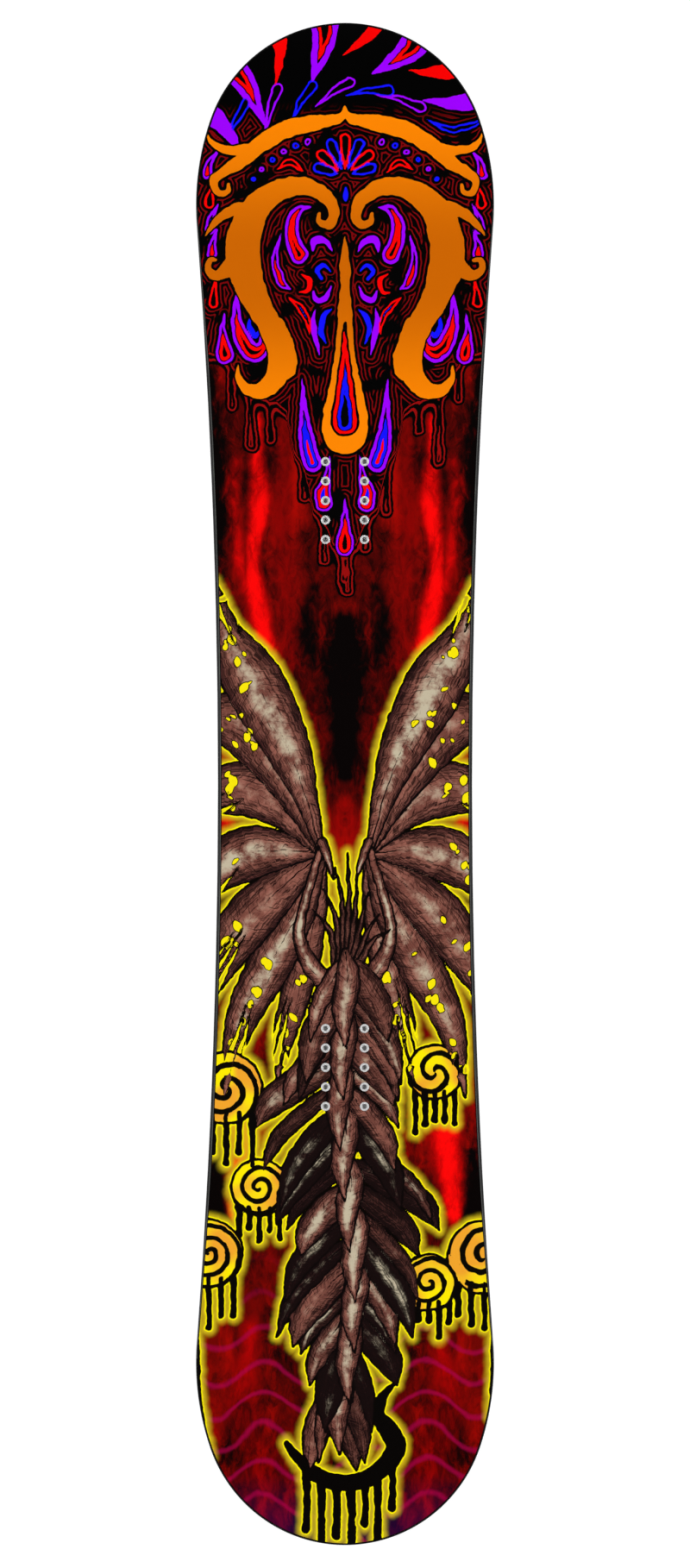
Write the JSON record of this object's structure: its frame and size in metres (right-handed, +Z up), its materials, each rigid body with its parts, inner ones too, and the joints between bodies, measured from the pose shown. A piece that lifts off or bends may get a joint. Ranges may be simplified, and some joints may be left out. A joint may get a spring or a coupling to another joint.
{
  "type": "snowboard deck",
  "caption": "Bare twin-tip snowboard deck with upturned nose and tail, steel edges and two threaded insert packs for bindings.",
  "frame": {"origin": "middle of the base's underside at the waist, on the ground plane; bottom centre of the bounding box", "axes": "+Z up from base to topsheet, +Y along the deck towards the nose, +X towards the right side seen from above with the nose ahead"},
  "size_m": [0.306, 1.56, 0.0584],
  "materials": {
    "core_wood": "planed",
    "foil_rubber": "matt",
    "glass_laminate": "resin-wet glass weave",
    "insert_steel": "turned",
    "sidewall_plastic": "satin",
    "base_plastic": "satin, ground",
    "edge_steel": "ground",
    "topsheet_print": "gloss print"
  },
  "bodies": {
    "root": {"core_stringer_centre": "core_wood", "core_stringer_left_1": "core_wood", "core_stringer_left_2": "core_wood", "core_stringer_left_3": "core_wood", "core_stringer_left_4": "core_wood", "core_stringer_left_5": "core_wood", "core_stringer_right_1": "core_wood", "core_stringer_right_2": "core_wood", "core_stringer_right_3": "core_wood", "core_stringer_right_4": "core_wood", "core_stringer_right_5": "core_wood", "damping_foil_left": "foil_rubber", "damping_foil_nose": "foil_rubber", "damping_foil_right": "foil_rubber", "damping_foil_tail": "foil_rubber", "insert_retention_mat_front": "glass_laminate", "insert_retention_mat_rear": "glass_laminate", "inserts_front": "insert_steel", "inserts_rear": "insert_steel", "lower_glass_mat": "glass_laminate", "nose_spacer": "sidewall_plastic", "running_base": "base_plastic", "sidewall_left": "sidewall_plastic", "sidewall_right": "sidewall_plastic", "steel_edge_left": "edge_steel", "steel_edge_nose": "edge_steel", "steel_edge_right": "edge_steel", "steel_edge_tail": "edge_steel", "tail_spacer": "sidewall_plastic", "topsheet": "topsheet_print", "upper_glass_mat": "glass_laminate"}
  },
  "joints": []
}
